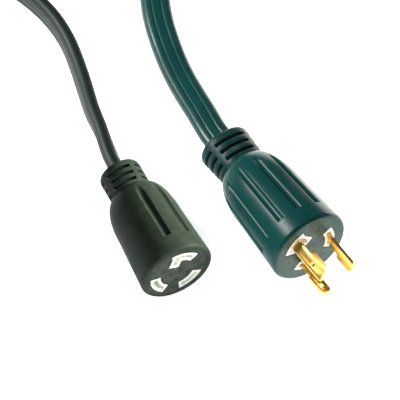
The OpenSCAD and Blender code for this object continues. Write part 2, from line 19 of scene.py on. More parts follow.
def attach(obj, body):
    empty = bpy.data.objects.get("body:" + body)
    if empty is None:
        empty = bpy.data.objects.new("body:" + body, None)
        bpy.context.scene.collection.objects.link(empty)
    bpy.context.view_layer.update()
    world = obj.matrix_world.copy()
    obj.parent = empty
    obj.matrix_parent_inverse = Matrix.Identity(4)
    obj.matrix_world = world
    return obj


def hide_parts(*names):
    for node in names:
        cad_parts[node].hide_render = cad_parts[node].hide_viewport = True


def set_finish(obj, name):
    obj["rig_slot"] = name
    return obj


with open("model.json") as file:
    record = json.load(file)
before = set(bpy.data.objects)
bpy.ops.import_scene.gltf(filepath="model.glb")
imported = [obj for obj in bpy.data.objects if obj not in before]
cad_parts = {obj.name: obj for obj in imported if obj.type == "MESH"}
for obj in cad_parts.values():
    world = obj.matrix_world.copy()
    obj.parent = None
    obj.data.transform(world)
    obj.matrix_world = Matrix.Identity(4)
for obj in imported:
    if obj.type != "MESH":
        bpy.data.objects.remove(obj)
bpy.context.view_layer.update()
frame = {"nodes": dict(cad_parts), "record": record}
MM = 0.001
print("solids:", len(frame["nodes"]))

# %% [markdown]
# ## The camera
#
# The two ends are seen from well above and from far away, through a long lens, so
# that parallel edges stay parallel. A camera is placed by three facts: the point on
# the floor that it looks at, how high it stands above the horizon, and how far off
# it is. The lens then follows from how many millimetres the picture is wide.

# %% Camera
VIEW_CENTRE = Vector((-14.34, 19.23, 0.0)) * MM
VIEW_HEIGHT = math.radians(59.6)
VIEW_DISTANCE = 3.0
VIEW_WIDTH = 218.5 * MM
SENSOR_W = 36.0

camera_data = bpy.data.cameras.new("camera")
camera_data.sensor_width = SENSOR_W
camera_data.lens = SENSOR_W * VIEW_DISTANCE / VIEW_WIDTH
camera_data.clip_end = 20.0
camera = bpy.data.objects.new("camera", camera_data)
camera.location = VIEW_CENTRE + VIEW_DISTANCE * Vector((0, -math.cos(VIEW_HEIGHT), math.sin(VIEW_HEIGHT)))
camera.rotation_euler = (math.pi / 2 - VIEW_HEIGHT, 0, 0)
bpy.context.scene.collection.objects.link(camera)
bpy.context.scene.camera = camera
bpy.context.scene.view_settings.view_transform = "Standard"
print("lens:", round(camera_data.lens), "mm")

# %% [markdown]
# ## Where each end lies
#
# Both ends lie on the floor on their tapered walls, so their axes point a little
# upwards at the face. All detail is easier to make in an end's own frame: z comes
# out of the face, x is to the right and y is up for someone who looks at the face.
# One matrix for each end then puts that detail in its place.

# %% Frames of the two ends
WALL_TAPER = 3.6
PLUG_LIFT = 3.5


def end_frame(face_centre, tilt, heading):
    """The matrix from an end's own frame to the floor's, with tilt and heading in degrees."""
    turn = Matrix.Rotation(math.radians(heading), 4, "Z") @ Matrix.Rotation(math.radians(90 - tilt), 4, "X")
    return Matrix.Translation(Vector(face_centre) * MM) @ turn


CONNECTOR_FRAME = end_frame((-26.54, -38.37, 21.198), WALL_TAPER, 26.1)
PLUG_FRAME = end_frame((44.86, -25.87, 25.887), WALL_TAPER + PLUG_LIFT, 33.2)
print("connector's face:", [round(v, 4) for v in CONNECTOR_FRAME.translation])

# %% [markdown]
# ## The cord
#
# A cord is a length before it is a shape. This one is 7.6 m of flat cord, 16.8 mm
# wide and 8 mm thick. It leaves the connector standing on edge, runs to a coil
# of two layers, and comes back to the plug, where it lies flat. Its route is a
# list of points, each with the roll of the flat section about its own run. The
# coil's turns follow a rule instead: seven turns side by side in each layer, and
# each turn steps in by one thickness in the same short sector.

# %% The cord's route
CORD_W = 16.8 * MM
CORD_T = 8.0 * MM
EDGE_Z = 8.45           # the height of the cord's middle when it stands on edge, in mm
FLAT_Z = 4.05           # and when it lies flat
COIL_AT = (-137.8, 283.6)
COIL_D = 166.0          # the mean diameter
COIL_TURNS = 7          # in each of the two layers
COIL_PITCH = 8.2
COIL_BASE = 1.4         # the straps run under the coil
LAYER_H = 16.9
BESIDE = 4.3            # the middle of the free cord beside the coil is this far from it
BESIDE_R = COIL_D / 2 + COIL_TURNS * COIL_PITCH / 2 + BESIDE
OUTER_R = COIL_D / 2 + (COIL_TURNS - 1) * COIL_PITCH / 2
CONNECTOR_EXIT = 72.0   # the cord leaves the strain relief this far behind the face
PLUG_EXIT = 86.0
EXIT_RUN = 8.0          # and stays in line with the end for this long


def end_points(end, behind_face, roll):
    """Two points on an end's own axis, where the cord leaves its strain relief."""
    out = [end @ Vector((0, 0, -s * MM)) / MM for s in (behind_face, behind_face + EXIT_RUN)]
    return [(p.x, p.y, p.z, roll) for p in out]


def round_coil(angle, radius, z):
    """A point of the route on the coil, with the flat section on edge."""
    a = math.radians(angle)
    return (COIL_AT[0] + radius * math.cos(a), COIL_AT[1] + radius * math.sin(a), z, 90.0)


CONNECTOR_POINTS = end_points(CONNECTOR_FRAME, CONNECTOR_EXIT, 106) + [
    (-65, 43.1, 15.5, 103), (-68.2, 53.9, 14.3, 98), (-73.4, 68.2, 12.4, 90), (-77.6, 84.2, 10.2, 87),
    (-82.1, 100.2, 8.8, 88), (-87.2, 114.7, EDGE_Z, 90), (-94.5, 128.2, EDGE_Z, 90),
    (-103.5, 139.5, EDGE_Z, 90), (-117.5, 152.1, EDGE_Z, 90), (-134.4, 161.9, EDGE_Z, 90),
    (-149.7, 167.4, EDGE_Z, 90)]
PLUG_POINTS = end_points(PLUG_FRAME, PLUG_EXIT, -6) + [
    (-8.7, 57.1, 13.4, -5), (-13.6, 68.2, 11.2, -4), (-20.1, 82.2, 8.2, -2), (-26.6, 97.2, 5.7, 0),
    (-32.1, 113.2, FLAT_Z, 0), (-37.1, 131.2, FLAT_Z, 0), (-39.6, 149.2, FLAT_Z, 0), (-39.4, 167.6, 4.9, 11),
    (-37, 186.6, 6.1, 28), (-33.3, 205.6, 7.4, 50), (-29.1, 225.1, 8.2, 72), (-25.3, 244.6, EDGE_Z, 86),
    (-22.6, 264.1, EDGE_Z, 90)]

# %% The coil's turns, by rule
JOG_START = -105.0   # the sector in which each turn steps across to the next, in degrees
JOG_LONG = 90.0
LAST_TURN = 160.0    # the last turn goes this far round
STEP = 12.0
LEAVE_START = 92     # then the cord leaves the coil, and ends beside it at angle 0
LEAVE_STOP = 10
LEAVE_STEP = 12
MOVE_OUT = (96, 42)  # on that way it moves out from this angle, over so many degrees
GO_DOWN = (76, 70)
LEAVE_Z = EDGE_Z + 0.2


def ease(t):
    """From 0 to 1, slowly at both ends."""
    t = min(1.0, max(0.0, t))
    return t * t * (3 - 2 * t)


def eased(first, last, t):
    """From one value to another, slowly at both ends."""
    return first + (last - first) * ease(t)


def jog(start, stop):
    """The sector in which the cord goes from one (radius, height) of the coil to the next."""
    out = []
    for a in np.arange(0, JOG_LONG, STEP):
        radius, z = (eased(start[k], stop[k], a / JOG_LONG) for k in range(2))
        out.append(round_coil(JOG_START - a, radius, z))
    return out


def coil_points():
    """Clockwise from beside the outer turn, in through the lower layer, out through the upper."""
    low = COIL_BASE + LAYER_H / 2
    rows = [OUTER_R - COIL_PITCH * k for k in range(COIL_TURNS)]
    high = low + LAYER_H
    stops = [(r, low) for r in rows] + [(r, high) for r in reversed(rows)]
    points = jog((BESIDE_R, EDGE_Z), stops[0])
    for i, (r, z) in enumerate(stops):
        last = i == len(stops) - 1
        rest = (LAST_TURN if last else 360) - JOG_LONG
        points += [round_coil(JOG_START - JOG_LONG - a, r, z) for a in np.arange(0, rest, STEP)]
        if not last:
            points += jog(stops[i], stops[i + 1])
    for a in range(LEAVE_START, LEAVE_STOP, -LEAVE_STEP):
        out = (MOVE_OUT[0] - a) / MOVE_OUT[1]
        down = (GO_DOWN[0] - a) / GO_DOWN[1]
        points.append(round_coil(a, eased(OUTER_R, BESIDE_R, out), eased(high, LEAVE_Z, down)))
    points.append(round_coil(0, BESIDE_R, LEAVE_Z))
    return points


ROUTE = CONNECTOR_POINTS + coil_points() + list(reversed(PLUG_POINTS))
print("route points:", len(ROUTE))

# %% [markdown]
# The points are joined by a smooth curve through all of them, and the curve is cut
# into equal steps. Each step gets a ring of the section. A ring needs two
# directions across the run: one lies level, the other stands up, and the roll
# turns the section between them.

# %% From points to an even run
RING_STEP = 5.0
CURVE_SAMPLES = 12   # between two points of the route


def knot_blend(u, start, stop, first, last):
    """Blends two points by where u lies between two knots."""
    return (stop - u) / (stop - start) * first + (u - start) / (stop - start) * last


def through(points, step):
    """Samples a centripetal Catmull-Rom curve through the points, then spaces them evenly."""
    p = np.array(points, float)
    p = np.vstack([2 * p[0] - p[1], p, 2 * p[-1] - p[-2]])
    fine = []
    for i in range(1, len(p) - 2):
        q = p[i - 1:i + 3]
        gaps = [max(1e-6, np.linalg.norm(q[j + 1, :3] - q[j, :3])) ** 0.5 for j in range(3)]
        k = np.cumsum([0.0] + gaps)
        for u in np.linspace(k[1], k[2], CURVE_SAMPLES, endpoint=False):
            a = [knot_blend(u, k[j], k[j + 1], q[j], q[j + 1]) for j in range(3)]
            b = [knot_blend(u, k[j], k[j + 2], a[j], a[j + 1]) for j in range(2)]
            fine.append(knot_blend(u, k[1], k[2], b[0], b[1]))
    fine.append(p[-2])
    fine = np.array(fine)
    along = np.concatenate([[0], np.cumsum(np.linalg.norm(np.diff(fine[:, :3], axis=0), axis=1))])
    even = np.linspace(0, along[-1], int(round(along[-1] / step)) + 1)
    return np.stack([np.interp(even, along, fine[:, c]) for c in range(4)], 1), along[-1]


run, run_length = through(ROUTE, RING_STEP)
lowest = FLAT_Z + (EDGE_Z - FLAT_Z) * np.abs(np.sin(np.radians(run[:, 3])))
run[:, 2] = np.maximum(run[:, 2], lowest)

# %% [markdown]
# The section is not a plain oval. Three round conductors lie side by side in the
# jacket, and it sinks a little between them, which draws the two fine lines along
# the flat sides. Both ends of the tube are closed.

# %% The cord's section and its mesh
LOBE_GAP = 2.65      # the shallow valleys are this far from the middle, in mm
VALLEY = 0.3         # their depth
VALLEY_W = 0.45
FLAT_XS = [3.7, 3.2, 2.95, LOBE_GAP, 2.35, 2.1, 1.4, 0.5]   # close together in the valley
EDGE_ARC = 9         # points round an edge
MERGE = 1e-7         # corners closer than this are one, in metres


def cord_section():
    """The points round the flat section, in mm: its flat sides with the valleys, and round edges."""
    half = (CORD_W - CORD_T) / 2 / MM
    r = CORD_T / 2 / MM
    top = [(x, r - VALLEY * math.exp(-((x - LOBE_GAP) / VALLEY_W) ** 2)) for x in [half] + FLAT_XS]
    top = top + [(-x, y) for x, y in reversed(top)]
    arc = [(half + r * math.sin(a), r * math.cos(a)) for a in np.linspace(math.pi, 0, EDGE_ARC)[1:-1]]
    right = arc + top
    return np.array(right + [(-x, -y) for x, y in right])


def rings_to_faces(count, n):
    """The faces of a closed tube of so many rings with n points each."""
    faces = [(i * n + j, i * n + (j + 1) % n, (i + 1) * n + (j + 1) % n, (i + 1) * n + j)
             for i in range(count - 1) for j in range(n)]
    return faces + [tuple(range(n)), tuple((count - 1) * n + j for j in range(n))]


def new_piece(name, verts, edges, faces):
    """Puts a mesh into the scene, from points in metres."""
    mesh = bpy.data.meshes.new(name)
    mesh.from_pydata(verts, edges, faces)
    piece = bpy.data.objects.new(name, mesh)
    bpy.context.scene.collection.objects.link(piece)
    return piece


def sweep(name, run, section):
    """A closed tube: one ring of the section at each point of the run."""
    xyz = run[:, :3]
    t = np.gradient(xyz, axis=0)
    t /= np.linalg.norm(t, axis=1)[:, None]
    across = np.cross(t, [0.0, 0.0, 1.0])
    across /= np.linalg.norm(across, axis=1)[:, None]
    up = np.cross(across, t)
    roll = np.radians(run[:, 3])[:, None]
    wide = np.cos(roll) * across + np.sin(roll) * up
    thick = np.cross(t, wide)
    verts = (xyz[:, None, :] + section[None, :, :1] * wide[:, None, :]
             + section[None, :, 1:] * thick[:, None, :])
    verts = verts.reshape(-1, 3) * MM
    piece = new_piece(name, verts.tolist(), [], rings_to_faces(len(run), len(section)))
    repair_normals(piece)
    smooth(piece, 40)
    return piece


def repair_normals(piece):
    """Merges doubled corners and turns every face outwards."""
    bm = bmesh.new()
    bm.from_mesh(piece.data)
    bmesh.ops.remove_doubles(bm, verts=bm.verts, dist=MERGE)
    bmesh.ops.recalc_face_normals(bm, faces=bm.faces)
    bm.to_mesh(piece.data)
    bm.free()


def smooth(piece, degrees):
    """Shades the piece smooth, but keeps edges sharper than the angle."""
    piece.data.shade_smooth()
    piece.data.set_sharp_from_angle(angle=math.radians(degrees))


flat_cord = sweep("flat_cord", run, cord_section())
along = flat_cord.data.attributes.new("along", "FLOAT", "POINT")
ring_share = np.repeat(np.linspace(0, 1, len(run)), len(cord_section()))
along.data.foreach_set("value", ring_share.astype(np.float32))
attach(flat_cord, "root")
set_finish(flat_cord, "cord_jacket")
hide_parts("cord_to_connector", "cord_coil", "cord_to_plug")
print("cord faces:", len(flat_cord.data.polygons))

# %% [markdown]
# ## The moulded shells
#
# A shell is a turned form with grip flutes let into it. The turned form is a
# profile: a rounded edge, a tapered wall and a dome. A flute is what a round rod,
# laid along the wall, would press out of it. At each place on the shell the surface
# is the lower of the two, and a small blend between them gives the soft edge that a
# rubbery moulding has. The columns of the mesh follow the edges of the flutes.

# %% Sizes of the ends, in mm and degrees
RIM_R = 2.0          # the rounded edge of the face
FACE_WALL = 3.5
CAVITY_R = 16.7
REAR_R = 13.3        # where the dome meets the strain relief
REAR_BORE_R = 10.1
DOME_TURN = 75.0     # how far round its ellipse the dome goes
FLUTE_W = 4.4
FLUTE_DEPTH = 1.5
FLUTE_START = 12.0
FLUTE_R = (FLUTE_W ** 2 / 4 + FLUTE_DEPTH ** 2) / (2 * FLUTE_DEPTH)
FLUTE_LIP = 0.25     # a flute's square end is formed over twice this depth
FLUTE_AT = 20.0      # the depth at which the columns take a flute's width
LAND_STEP = 6.0      # columns between two flutes are about this many degrees apart
SOFT = 0.45          # width of the blend along a flute's edges
CHAMFER = 0.3        # at the rear bore's mouth
REAR_BORE_L = 8.0

RIM_ROWS = 9
LIP_ROWS = [-4, -2, -0.6, -0.3, -0.2, -0.1, 0, 0.1, 0.2, 0.3, 0.6, 1.5]   # round the flutes' start
WALL_ROWS = 12
DOME_ROWS = 27

CONNECTOR = {"name": "connector", "frame": CONNECTOR_FRAME, "r": 21.0, "straight": 34.0, "long": 55.0,
             "flutes": [88 - 34.5 * i for i in range(8)], "mirrored": False, "roll": -22.0}
PLUG = {"name": "plug", "frame": PLUG_FRAME, "r": 23.1, "straight": 38.0, "long": 65.0,
        "flutes": [52 + 31.5 * i for i in range(8)], "mirrored": True, "roll": 42.0}


def wall(end, s):
    """The tapered wall's radius at a depth behind the face."""
    return end["r"] - (s - RIM_R) * math.tan(math.radians(WALL_TAPER))


def profile(end):
    """The turned outside, as (depth behind the face, radius), from the face to the rear."""
    rows = [(RIM_R * (1 - math.cos(a)), end["r"] - RIM_R + RIM_R * math.sin(a))
            for a in np.linspace(0, math.pi / 2, RIM_ROWS)]
    near = FLUTE_START + np.array(LIP_ROWS)
    depths = list(near) + list(np.linspace(FLUTE_START + 3, end["straight"], WALL_ROWS))
    rows += [(s, wall(end, s)) for s in depths]
    shoulder = wall(end, end["straight"])
    turn = math.radians(DOME_TURN)
    long = (end["long"] - end["straight"]) / math.sin(turn)
    deep = (shoulder - REAR_R) / (1 - math.cos(turn))
    rows += [(end["straight"] + long * math.sin(a), shoulder - deep * (1 - math.cos(a)))
             for a in np.linspace(0, turn, DOME_ROWS)[1:]]
    return rows


# %% Where the columns of the mesh stand
def edge_angle(end, s, r):
    """Half the angle that a flute takes up at this depth, in radians."""
    c = wall(end, s) + FLUTE_R - FLUTE_DEPTH
    return math.acos(min(1.0, (c * c + r * r - FLUTE_R ** 2) / (2 * c * r)))


# columns across a flute, as shares of half its width: close together at its edges
ACROSS = [-1.6, -1.25, -1.08, -1.02, -0.97, -0.9, -0.78, -0.6, -0.35, 0,
          0.35, 0.6, 0.78, 0.9, 0.97, 1.02, 1.08, 1.25, 1.6]
NARROWEST = 0.3      # they draw together on the dome, but to no less than this share


def columns(end, s, r):
    """Column angles in radians for one row, with each column's place across its own flute."""
    full = edge_angle(end, FLUTE_AT, wall(end, FLUTE_AT))
    here = max(NARROWEST * full, edge_angle(end, s, r)) if s > FLUTE_START else full
    centres = sorted(math.radians(a) % (2 * math.pi) for a in end["flutes"])
    found = []
    for i, centre in enumerate(centres):
        after = centres[(i + 1) % len(centres)] + (2 * math.pi if i + 1 == len(centres) else 0)
        found += [(centre + u * here, u * here) for u in ACROSS]
        first = centre + ACROSS[-1] * here
        last = after + ACROSS[0] * here
        steps = max(3, round((after - centre) / math.radians(LAND_STEP)))
        found += [(first + (last - first) * k / steps, None) for k in range(1, steps)]
    return found


def lower(a, b):
    """The lower of two surfaces, with a soft edge between them."""
    h = max(SOFT - abs(a - b), 0) / SOFT
    return min(a, b) - h * h * SOFT / 4


def shell_radius(end, s, r, offset):
    """The outside's radius at one place, offset from the nearest flute's middle."""
    if offset is None or s < FLUTE_START - FLUTE_LIP:
        return r
    c = wall(end, s) + FLUTE_R - FLUTE_DEPTH
    beside = c * math.sin(abs(offset))
    if beside >= FLUTE_R:
        return r
    pressed = lower(r, c * math.cos(offset) - math.sqrt(FLUTE_R ** 2 - beside ** 2))
    return r + (pressed - r) * ease((s - FLUTE_START + FLUTE_LIP) / (2 * FLUTE_LIP))


# %% The shell's mesh
def solid(name, verts, faces, place):
    """A mesh piece from points in mm, put in its place by a matrix."""
    piece = new_piece(name, [Vector(v) * MM for v in verts], [], faces)
    piece.data.transform(place)
    repair_normals(piece)
    return piece


def moulded_shell(end):
    """Rings down the fluted outside, then up the plain inside: one closed cup."""
    verts = []
    for s, r in profile(end):
        row = columns(end, s, r)
        radii = [shell_radius(end, s, r, offset) for angle, offset in row]
        verts += [(q * math.cos(a), q * math.sin(a), -s) for q, (a, offset) in zip(radii, row)]
    plain = [a for a, offset in columns(end, 0, end["r"])]
    inside = [(end["long"], REAR_BORE_R + CHAMFER), (end["long"] - CHAMFER, REAR_BORE_R),
              (end["long"] - REAR_BORE_L, REAR_BORE_R), (end["straight"], CAVITY_R), (FACE_WALL, CAVITY_R)]
    for s, r in inside:
        verts += [(r * math.cos(a), r * math.sin(a), -s) for a in plain]
    rows = len(profile(end)) + len(inside)
    return solid(end["name"] + "_moulded_shell", verts, rings_to_faces(rows, len(plain)), end["frame"])


print("flute radius:", round(FLUTE_R, 2), "mm; columns:", len(columns(PLUG, FLUTE_AT, FLUTE_AT)))

# %% [markdown]
# ## The poles
#
# Three curved slots stand on one circle, and the plug's blades on the mirror image of it. The ground pole has
# a hook that points to the centre. One outline, grown by a little or by more, gives the chamfered window in
# the shell round each pole's nylon.

# %% One outline for every pole
POLE_R = 12.9
SLOT_W = 2.6
BOSS_WALL = 1.6
HOOK_L = 6.65
POLES = {"ground": (90.0, 10.8), "line": (225.0, 10.8), "neutral": (-35.0, 10.6)}
WINDOW_GROW = BOSS_WALL + 0.1    # from a slot to the edge of the window round its boss
WINDOW_EDGE = 0.28               # the chamfer round a window
WINDOW_DEEP = 4.5
OUTER_POINTS = 17                # points along a pole's outer arc
INNER_POINTS = 15


def pole_outline(pole, grow):
    """Points (out from the axis, across) round a pole's slot, grown by some mm."""
    half = POLES[pole][1] / (2 * POLE_R) + math.asin(grow / POLE_R)
    r_in = POLE_R - SLOT_W / 2 - grow
    r_out = POLE_R + SLOT_W / 2 + grow
    outside = [(r_out * math.cos(a), r_out * math.sin(a)) for a in np.linspace(-half, half, OUTER_POINTS)]
    low = half
    hook = []
    if pole == "ground":
        top = POLE_R * math.sin(POLES[pole][1] / (2 * POLE_R)) + grow
        bottom = top - SLOT_W - 2 * grow
        low = math.asin(bottom / r_in)
        hook = [(top / math.tan(half), top), (POLE_R - HOOK_L - grow, top), (POLE_R - HOOK_L - grow, bottom)]
    inside = [(r_in * math.cos(a), r_in * math.sin(a)) for a in np.linspace(low, -half, INNER_POINTS)]
    return outside + hook + inside


def on_face(end, pole, points):
    """Turns pole points to their place on an end's face."""
    angle = POLES[pole][0]
    a = math.radians((180 - angle if end["mirrored"] else angle) + end["roll"])
    side = -1 if end["mirrored"] else 1
    return [(x * math.cos(a) - side * y * math.sin(a),
             x * math.sin(a) + side * y * math.cos(a)) for x, y in points]


def window_cutter(end):
    """The three closed solids that open an end's face round its nylon, as one mesh."""
    steps = [(WINDOW_GROW + 0.4, 0.8), (WINDOW_GROW + WINDOW_EDGE, 0.0),
             (WINDOW_GROW, -WINDOW_EDGE), (WINDOW_GROW, -WINDOW_DEEP)]
    verts = []
    faces = []
    for pole in POLES:
        first = len(verts)
        for grow, z in steps:
            outline = on_face(end, pole, pole_outline(pole, grow))
            verts += [(x, y, z) for x, y in outline]
        faces += [tuple(first + v for v in face) for face in rings_to_faces(len(steps), len(outline))]
    return solid("windows", verts, faces, end["frame"])


def baked(piece):
    """Applies a piece's modifiers, and takes them off."""
    shape = bpy.data.meshes.new_from_object(piece.evaluated_get(bpy.context.evaluated_depsgraph_get()))
    piece.modifiers.clear()
    piece.data = shape
    return piece


def cut(piece, cutter):
    """Takes one closed mesh from another, and removes the cutter."""
    modifier = piece.modifiers.new("cut", "BOOLEAN")
    modifier.operation = "DIFFERENCE"
    modifier.solver = "EXACT"
    modifier.object = cutter
    baked(piece)
    bpy.data.objects.remove(cutter)


# %% Shells with their windows
for end in (CONNECTOR, PLUG):
    shell = moulded_shell(end)
    cut(shell, window_cutter(end))
    smooth(shell, 32)
    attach(shell, "root")
    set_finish(shell, end["name"] + "_moulding")
    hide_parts(end["name"] + "_shell")
    print(shell.name, len(shell.data.polygons), "faces")

# %% [markdown]
# ## Pieces with rounded edges
#
# Some solids have the right shape already and only lack the small radius that every
# moulded or stamped edge has. Each is copied, its loose triangles are joined and its
# flat areas made whole, and then its edges are bevelled.

# %% Bevelled copies
BEVEL_SEGMENTS = 2
BEVEL_ANGLE = 30     # edges sharper than this, in degrees, are bevelled and stay crisp
FLAT_ANGLE = 1       # faces that differ less than this are joined
LOOSE_MERGE = 2e-6   # in metres: the solids come as loose triangles
RELIEF_EDGE = 0.3    # widths of the bevels, in mm
NYLON_EDGE = 0.15
BLADE_EDGE = 0.22
CONTACT_EDGE = 0.08


def dressed(node, name, slot, width):
    """A copy of a solid with its edges bevelled by some mm, in the solid's place."""
    source = frame["nodes"][node].data
    outline = [tuple(f.vertices) for f in source.polygons]
    piece = new_piece(name, [v.co for v in source.vertices], [], outline)
    bm = bmesh.new()
    bm.from_mesh(piece.data)
    bmesh.ops.remove_doubles(bm, verts=bm.verts, dist=LOOSE_MERGE)
    bmesh.ops.dissolve_limit(bm, angle_limit=math.radians(FLAT_ANGLE), verts=bm.verts, edges=bm.edges)
    bmesh.ops.recalc_face_normals(bm, faces=bm.faces)
    bm.to_mesh(piece.data)
    bm.free()
    bevel = piece.modifiers.new("bevel", "BEVEL")
    bevel.width = width * MM
    bevel.segments = BEVEL_SEGMENTS
    bevel.limit_method = "ANGLE"
    bevel.angle_limit = math.radians(BEVEL_ANGLE)
    baked(piece)
    smooth(piece, BEVEL_ANGLE)
    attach(piece, "root")
    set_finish(piece, slot)
    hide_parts(node)
    return piece


reliefs = [dressed(name + "_strain_relief", name + "_ribbed_relief", name + "_relief", RELIEF_EDGE)
           for name in ("connector", "plug")]
nylon = [dressed("connector_slot_insert", "connector_nylon_face", "white_nylon", NYLON_EDGE),
         dressed("plug_blade_carrier", "plug_nylon_carrier", "white_nylon", NYLON_EDGE)]
blades = [dressed("plug_" + pole + "_blade", pole + "_brass_blade", "blade_brass", BLADE_EDGE)
          for pole in POLES]
contacts = [dressed("connector_" + pole + "_contact", pole + "_spring_contact", "contact_brass", CONTACT_EDGE)
            for pole in POLES]
print("bevelled:", len(reliefs) + len(nylon) + len(blades) + len(contacts))

# %% [markdown]
# ## Materials
#
# Three small node groups are shared by all the materials. Grain is the fine
# unevenness of a moulded skin. Edge wear is where handling has rubbed a corner
# lighter, and dust is what settles on surfaces that look up. Each gives out only a
# mask or a height, and the material decides what to do with it.

# %% Shared node groups
def node_group(name, inputs, outputs):
    """A new group of number sockets, with its two end nodes."""
    group = bpy.data.node_groups.new(name, "ShaderNodeTree")
    for label, value in inputs.items():
        socket = group.interface.new_socket(label, in_out="INPUT", socket_type="NodeSocketFloat")
        socket.default_value = value
    for label in outputs:
        group.interface.new_socket(label, in_out="OUTPUT", socket_type="NodeSocketFloat")
    return group, group.nodes.new("NodeGroupInput"), group.nodes.new("NodeGroupOutput")


def math_node(tree, kind, first, second):
    """A math node; each side is a socket or a number."""
    node = tree.nodes.new("ShaderNodeMath")
    node.operation = kind
    for socket, value in zip(node.inputs, (first, second)):
        if isinstance(value, bpy.types.NodeSocket):
            tree.links.new(value, socket)
        else:
            socket.default_value = value
    return node.outputs[0]


def ranged(tree, value, low, high, to_low=0.0, to_high=1.0):
    """Maps a value from one range to another, and clamps it."""
    node = tree.nodes.new("ShaderNodeMapRange")
    tree.links.new(value, node.inputs["Value"])
    for label, number in (("From Min", low), ("From Max", high), ("To Min", to_low), ("To Max", to_high)):
        node.inputs[label].default_value = number
    return node.outputs[0]


def noise(tree, scale, detail=2.0):
    """Noise in the object's own space; the scale is a socket or a number."""
    where = tree.nodes.new("ShaderNodeTexCoord")
    node = tree.nodes.new("ShaderNodeTexNoise")
    node.inputs["Detail"].default_value = detail
    tree.links.new(where.outputs["Object"], node.inputs["Vector"])
    if isinstance(scale, bpy.types.NodeSocket):
        tree.links.new(scale, node.inputs["Scale"])
    else:
        node.inputs["Scale"].default_value = scale
    return node.outputs["Fac"]


GRAIN, given, result = node_group("grain", {"Scale": 1600.0, "Blotch": 60.0}, ("Height", "Patch"))
GRAIN.links.new(noise(GRAIN, given.outputs["Scale"]), result.inputs["Height"])
GRAIN.links.new(ranged(GRAIN, noise(GRAIN, given.outputs["Blotch"], 4.0), 0.3, 0.7), result.inputs["Patch"])

WEAR, given, result = node_group("edge wear", {"Amount": 0.5}, ("Mask",))
shape = WEAR.nodes.new("ShaderNodeNewGeometry")
edges = ranged(WEAR, shape.outputs["Pointiness"], 0.51, 0.58)
rubbed = math_node(WEAR, "MULTIPLY", edges, ranged(WEAR, noise(WEAR, 250.0, 4.0), 0.35, 0.65))
WEAR.links.new(math_node(WEAR, "MULTIPLY", rubbed, given.outputs["Amount"]), result.inputs["Mask"])

DUST, given, result = node_group("dust", {"Amount": 0.1}, ("Mask",))
shape = DUST.nodes.new("ShaderNodeNewGeometry")
split = DUST.nodes.new("ShaderNodeSeparateXYZ")
DUST.links.new(shape.outputs["Normal"], split.inputs[0])
upwards = ranged(DUST, split.outputs["Z"], 0.3, 1.0)
settled = math_node(DUST, "MULTIPLY", upwards, ranged(DUST, noise(DUST, 180.0, 6.0), 0.42, 0.7))
DUST.links.new(math_node(DUST, "MULTIPLY", settled, given.outputs["Amount"]), result.inputs["Mask"])
print("shared groups:", [g.name for g in bpy.data.node_groups])

# %% A finish from the shared groups
DUST_COLOUR = (0.42, 0.4, 0.36)
BUMP = 0.6
GLOSSIER = 0.05      # how far the roughness goes below the given one in the patches, and above
DULLER = 0.06
STRAND_SCALE = 700.0
THREAD_SCALE = 420.0
finishes = {}


def use(tree, group, **inputs):
    """A group node with its inputs set."""
    node = tree.nodes.new("ShaderNodeGroup")
    node.node_tree = group
    for label, value in inputs.items():
        node.inputs[label].default_value = value
    return node


def mixed(tree, share, first, second):
    """Blends two colours; each is a socket or three numbers."""
    node = tree.nodes.new("ShaderNodeMix")
    node.data_type = "RGBA"
    tree.links.new(share, node.inputs["Factor"])
    for socket, value in ((node.inputs[6], first), (node.inputs[7], second)):
        if isinstance(value, bpy.types.NodeSocket):
            tree.links.new(value, socket)
        else:
            socket.default_value = (*value, 1)
    return node.outputs[2]


def finish(name, colour, rough, metal=0.0, other=None, wear=0.4, rubbed=None, dust=0.08, grain=1600.0,
           depth=0.02, extra=None, **shader):
    """A material: colour with patches of another, rubbed edges, dust, uneven gloss and grain."""
    material = bpy.data.materials.new(name)
    material.use_nodes = True
    tree = material.node_tree
    bsdf = tree.nodes["Principled BSDF"]
    skin = use(tree, GRAIN, Scale=grain)
    other = other or tuple(0.8 * c for c in colour)
    rubbed = rubbed or tuple(0.35 * c + 0.12 for c in colour)
    shade = mixed(tree, skin.outputs["Patch"], colour, other)
    shade = mixed(tree, use(tree, WEAR, Amount=wear).outputs["Mask"], shade, rubbed)
    shade = mixed(tree, use(tree, DUST, Amount=dust).outputs["Mask"], shade, DUST_COLOUR)
    tree.links.new(shade, bsdf.inputs["Base Color"])
    gloss = ranged(tree, skin.outputs["Patch"], 0, 1, rough - GLOSSIER, rough + DULLER)
    tree.links.new(gloss, bsdf.inputs["Roughness"])
    bsdf.inputs["Metallic"].default_value = metal
    height = skin.outputs["Height"]
    if extra:
        height = math_node(tree, "ADD", height, extra(tree))
    bump = tree.nodes.new("ShaderNodeBump")
    bump.inputs["Strength"].default_value = BUMP
    bump.inputs["Distance"].default_value = depth * MM
    tree.links.new(height, bump.inputs["Height"])
    tree.links.new(bump.outputs[0], bsdf.inputs["Normal"])
    for label, value in shader.items():
        bsdf.inputs[label.replace("_", " ")].default_value = value
    finishes[name] = (material, tree, bsdf, shade)


def waves(tree, scale, direction):
    """Parallel waves, as a height."""
    wave = tree.nodes.new("ShaderNodeTexWave")
    wave.bands_direction = direction
    wave.inputs["Scale"].default_value = scale
    where = tree.nodes.new("ShaderNodeTexCoord")
    tree.links.new(where.outputs["Object"], wave.inputs["Vector"])
    return wave.outputs["Fac"]


def strands(tree):
    """The lay of twisted strands."""
    return waves(tree, STRAND_SCALE, "X")


def weave(tree):
    """The crossing threads of a webbing."""
    return math_node(tree, "MAXIMUM", waves(tree, THREAD_SCALE, "X"), waves(tree, THREAD_SCALE, "Y"))


